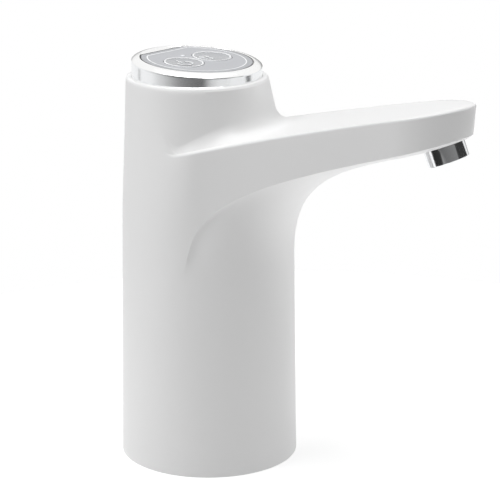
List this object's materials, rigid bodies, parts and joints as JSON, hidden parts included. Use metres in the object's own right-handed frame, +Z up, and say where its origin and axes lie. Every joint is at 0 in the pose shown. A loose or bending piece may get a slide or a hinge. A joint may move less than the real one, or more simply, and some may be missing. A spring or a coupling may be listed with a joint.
{
  "type": "bottled water pump",
  "caption": "Rechargeable pump that drops over a large water bottle's neck, with a scooped spout arm, a tilted button panel and a small motor pump inside.",
  "frame": {"origin": "under the middle of the whole pump, on the plane that its open lower end rests on", "axes": "+Z up along the column, +X along the spout, +Y across it"},
  "size_m": [0.143, 0.07, 0.1595],
  "materials": {
    "white_shell": "glossy",
    "white_inner": "satin",
    "chrome": "polished",
    "panel_silver": "glossy metallic",
    "key_silver": "glossy metallic",
    "clear_white": "glossy",
    "steel": "satin",
    "black_plastic": "matte",
    "grey_plastic": "matte",
    "silicone": "matte",
    "black_rubber": "matte",
    "board_green": "glossy",
    "cell_blue": "glossy",
    "wire_red": "satin",
    "wire_black": "satin"
  },
  "bodies": {
    "housing": {"outer_shell": "white_shell", "neck_socket": "white_inner", "neck_seal": "silicone", "base_screw_1": "steel", "base_screw_2": "steel", "base_screw_3": "steel", "base_screw_4": "steel", "inner_frame": "white_inner", "battery_cell": "cell_blue", "pump_damper": "black_rubber", "pump_head": "black_plastic", "valve_plate": "white_inner", "pump_diaphragm": "black_rubber", "crank_case": "black_plastic", "head_screw_1": "steel", "head_screw_2": "steel", "head_screw_3": "steel", "motor_can": "steel", "motor_end_cap": "black_plastic", "motor_sleeve": "black_rubber", "inlet_fitting": "white_inner", "inlet_hose": "silicone", "outlet_hose": "silicone", "nozzle_tube": "chrome", "stream_insert": "grey_plastic", "nozzle_seal": "black_rubber", "nozzle_elbow": "white_inner", "trim_ring": "chrome", "control_panel": "panel_silver", "key_guide": "black_plastic", "control_board": "board_green", "power_switch": "black_plastic", "flow_switch": "black_plastic", "light_pipe": "clear_white", "board_screw_1": "steel", "board_screw_2": "steel", "charge_board": "board_green", "charge_socket": "steel", "motor_lead_black": "wire_black", "motor_lead_red": "wire_red", "battery_lead_black": "wire_black", "battery_lead_red": "wire_red"},
    "rotor": {"drive_rotor": "white_inner", "motor_shaft": "steel", "drive_pin": "steel"},
    "yoke": {"wobble_yoke": "grey_plastic"},
    "power_key": {"power_key": "key_silver"},
    "flow_key": {"flow_key": "key_silver"}
  },
  "joints": [
    {"name": "rotor_spin", "type": "hinge", "parent": "housing", "child": "rotor", "pos_m": [-0.02651, 0, 0.0813], "axis": [0, 0, 1], "continuous": true},
    {"name": "yoke_nutation", "type": "hinge", "parent": "rotor", "child": "yoke", "pos_m": [-0.02651, 0, 0.0813], "axis": [0.1392, 0, 0.9903], "continuous": true, "deforming": ["pump_diaphragm"]},
    {"name": "power_key_press", "type": "slide", "parent": "housing", "child": "power_key", "axis": [-0.0676, 0.0175, -0.9976], "range_m": [0, 0.0005], "stiffness_N_per_m": 400, "springref_m": -0.0005},
    {"name": "flow_key_press", "type": "slide", "parent": "housing", "child": "flow_key", "axis": [-0.0676, 0.0175, -0.9976], "range_m": [0, 0.0005], "stiffness_N_per_m": 400, "springref_m": -0.0005}
  ],
  "couplings": [
    {"joint": "yoke_nutation", "follows": "rotor_spin", "ratio": -1}
  ]
}
